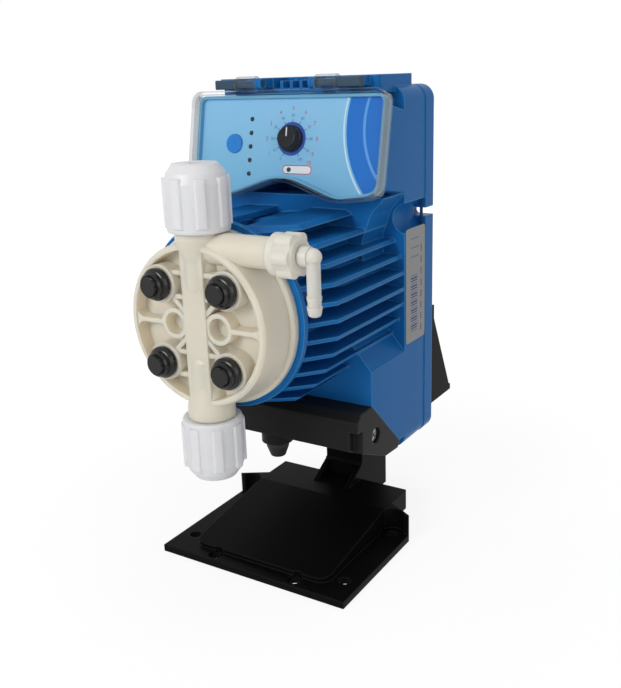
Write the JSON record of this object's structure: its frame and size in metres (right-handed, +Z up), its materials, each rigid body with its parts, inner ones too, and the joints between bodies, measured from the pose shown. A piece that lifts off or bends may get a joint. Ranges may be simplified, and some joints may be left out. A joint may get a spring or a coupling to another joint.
{
  "type": "diaphragm metering pump",
  "caption": "wall or foot mounted solenoid diaphragm dosing pump with finned round drum, ribbed pump head, hose nuts, bleed valve and hinged clear cover over its control panel",
  "frame": {"origin": "centre of the foot's four anchor holes, on the floor plane", "axes": "+Z up, front with the pump head towards -Y, +X to the pump's left hand side with the bleed valve when seen from the front right"},
  "size_m": [0.1245, 0.1862, 0.2606],
  "materials": {
    "foot": "moulded, fine grain, near black",
    "casing": "moulded, satin blue",
    "screw_steel": "plain bright steel",
    "seal_rubber": "black rubber",
    "clear_cover": "clear, glossy",
    "panel_film": "printed film, pale blue",
    "button_blue": "soft key",
    "knob": "moulded",
    "metal_inner": "machined",
    "yoke_iron": "dark oxide",
    "black_inner": "moulded",
    "lamp": "tinted lens",
    "alarm": "tinted lens",
    "board": "board green",
    "can": "sleeved can",
    "pillar": "turned",
    "cover_grey": "moulded, dark grey",
    "head_cream": "natural, slightly translucent",
    "cap_black": "moulded, glossy",
    "nut_white": "natural white",
    "valve_plastic": "natural white",
    "ball_ceramic": "polished ceramic",
    "coil_copper": "enamelled wire",
    "membrane": "coated rubber"
  },
  "bodies": {
    "pump": {"mounting_foot": "foot", "bracket_screws": "screw_steel", "back_cover": "casing", "case_screws": "screw_steel", "case_gasket": "seal_rubber", "housing": "casing", "hinge_pins": "screw_steel", "control_panel": "panel_film", "speed_potentiometer": "black_inner", "indicator_lamps": "lamp", "alarm_lamp": "alarm", "button_switch": "black_inner", "control_board": "board", "power_board": "board", "board_capacitors": "can", "board_pillars": "pillar", "connector_cover": "cover_grey", "cover_screws": "screw_steel", "cable_gland": "seal_rubber", "terminal_block": "black_inner", "pump_head": "head_cream", "head_bolts": "screw_steel", "bolt_caps": "cap_black", "discharge_cage": "valve_plastic", "suction_cage": "valve_plastic", "discharge_seat": "valve_plastic", "suction_seat": "valve_plastic", "hose_spigots": "valve_plastic", "valve_seals": "seal_rubber", "clamp_rings": "valve_plastic", "solenoid_yoke": "yoke_iron", "coil_bobbin": "black_inner", "coil_winding": "coil_copper", "pole_piece": "metal_inner", "guide_bush": "black_inner", "backing_ring": "metal_inner", "diaphragm": "membrane"},
    "lid": {"clear_lid": "clear_cover"},
    "button": {"select_button": "button_blue"},
    "dial": {"speed_knob": "knob", "knob_shaft": "metal_inner"},
    "upper_nut": {"discharge_nut": "nut_white"},
    "lower_nut": {"suction_nut": "nut_white"},
    "bleed_valve": {"bleed_knob": "nut_white", "bleed_needle": "valve_plastic"},
    "bleed_outlet": {"bleed_elbow": "nut_white"},
    "drive_rod": {"armature": "metal_inner", "diaphragm_hub": "membrane", "return_spring": "metal_inner"},
    "upper_ball": {"discharge_ball": "ball_ceramic"},
    "lower_ball": {"suction_ball": "ball_ceramic"}
  },
  "joints": [
    {"name": "lid_hinge", "type": "hinge", "parent": "pump", "child": "lid", "pos_m": [0, 0.0115, 0.2566], "axis": [-1, 0, 0], "range_deg": [0, 110]},
    {"name": "button_press", "type": "slide", "parent": "pump", "child": "button", "axis": [0, 0.9787, -0.2052], "range_m": [0, 0.0005], "stiffness_N_per_m": 15, "springref_m": -0.0005},
    {"name": "dial_turn", "type": "hinge", "parent": "pump", "child": "dial", "pos_m": [0.0028, 0.01001, 0.2291], "axis": [0, -0.9787, 0.2052], "range_deg": [-150, 150]},
    {"name": "upper_nut_turn", "type": "hinge", "parent": "pump", "child": "upper_nut", "pos_m": [0, -0.066, 0.2048], "axis": [0, 0, 1], "range_deg": [0, 360]},
    {"name": "lower_nut_turn", "type": "hinge", "parent": "pump", "child": "lower_nut", "pos_m": [0, -0.066, 0.0898], "axis": [0, 0, 1], "range_deg": [0, 360]},
    {"name": "bleed_turn", "type": "hinge", "parent": "pump", "child": "bleed_valve", "pos_m": [0.05, -0.066, 0.1862], "axis": [1, 0, 0], "range_deg": [0, 180]},
    {"name": "outlet_swivel", "type": "hinge", "parent": "bleed_valve", "child": "bleed_outlet", "pos_m": [0.058, -0.066, 0.1862], "axis": [1, 0, 0], "range_deg": [-180, 180]},
    {"name": "rod_stroke", "type": "slide", "parent": "pump", "child": "drive_rod", "axis": [0, -1, 0], "range_m": [0, 0.00125], "stiffness_N_per_m": 2000, "springref_m": -0.001},
    {"name": "upper_ball_lift", "type": "slide", "parent": "pump", "child": "upper_ball", "axis": [0, 0, 1], "range_m": [0, 0.0015]},
    {"name": "lower_ball_lift", "type": "slide", "parent": "pump", "child": "lower_ball", "axis": [0, 0, 1], "range_m": [0, 0.0015]}
  ]
}
